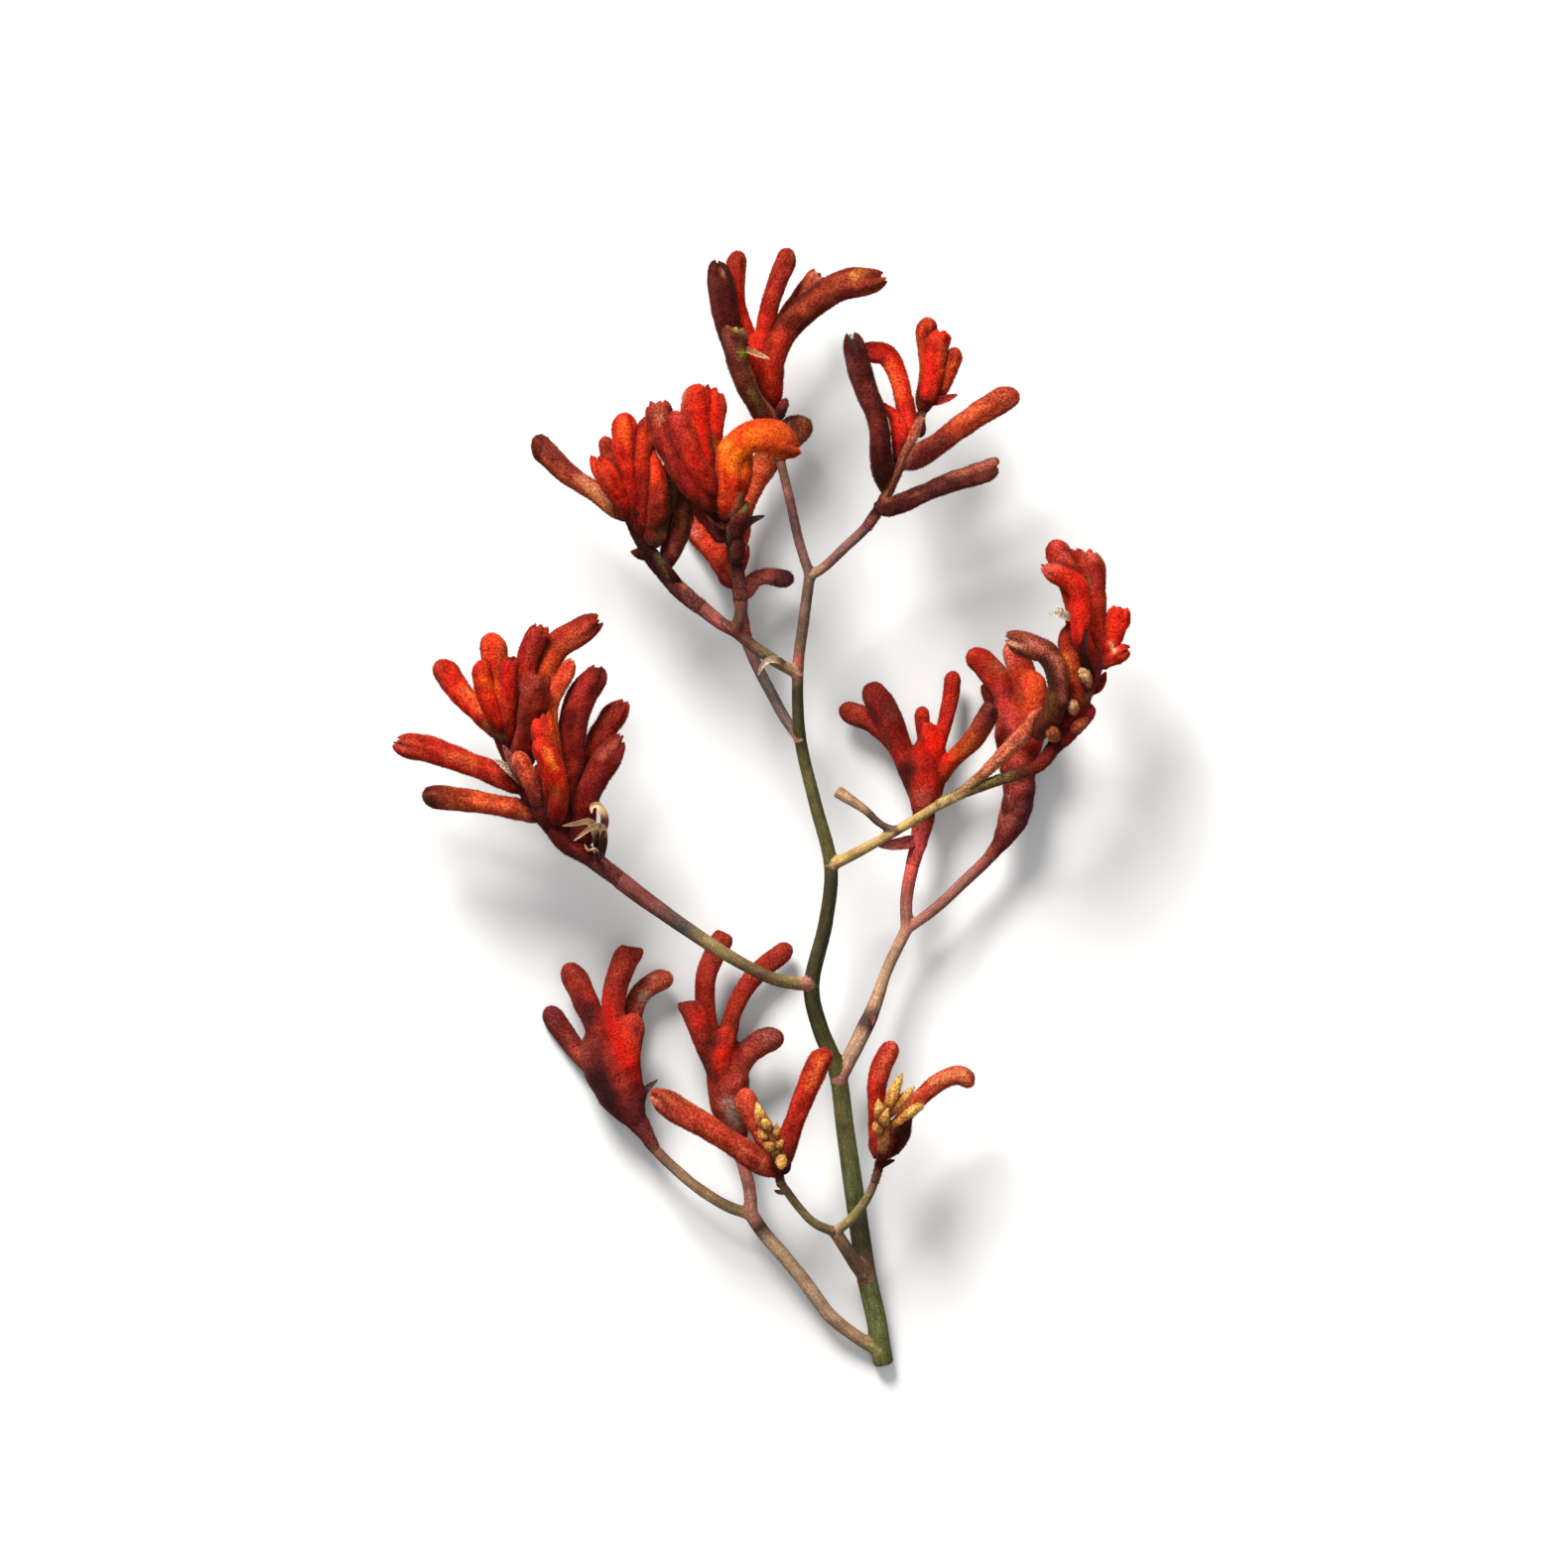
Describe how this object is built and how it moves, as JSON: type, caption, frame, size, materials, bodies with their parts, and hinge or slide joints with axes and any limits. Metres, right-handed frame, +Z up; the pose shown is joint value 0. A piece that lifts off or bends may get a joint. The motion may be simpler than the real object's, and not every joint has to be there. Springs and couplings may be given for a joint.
{
  "type": "kangaroo paw flower",
  "caption": "Cut, branched kangaroo paw stalk with heads of felted red tubular flowers, made to lie on a flat surface.",
  "frame": {"origin": "middle of the footprint's bounding box, at the surface that the stalk lies on", "axes": "+Z up from that surface, +Y from the cut end to the crown, +X to the right as seen from above"},
  "size_m": [0.2378, 0.3622, 0.0716],
  "materials": {
    "stem": "fresh plant stem, satin, finely downy towards the heads",
    "rust_felt": "dense rust-red felt of short branched hairs, matt",
    "bright_felt": "dense orange-red felt of short branched hairs, matt",
    "maroon_felt": "dense dull red felt of short branched hairs, matt",
    "golden_buds": "golden felt of young buds, matt",
    "dry_bracts": "dry papery bract, matt"
  },
  "bodies": {
    "root": {"stem": "stem", "crown_head": "rust_felt", "upper_right_head": "rust_felt", "upper_left_head": "bright_felt", "upper_middle_head": "bright_felt", "upper_back_head": "bright_felt", "left_head": "rust_felt", "lower_left_head": "maroon_felt", "lower_middle_head": "maroon_felt", "low_left_head": "bright_felt", "low_right_head": "bright_felt", "right_back_head": "maroon_felt", "right_middle_head": "maroon_felt", "right_head": "rust_felt", "low_left_buds": "golden_buds", "low_right_buds": "golden_buds", "dry_bracts": "dry_bracts"}
  },
  "joints": []
}
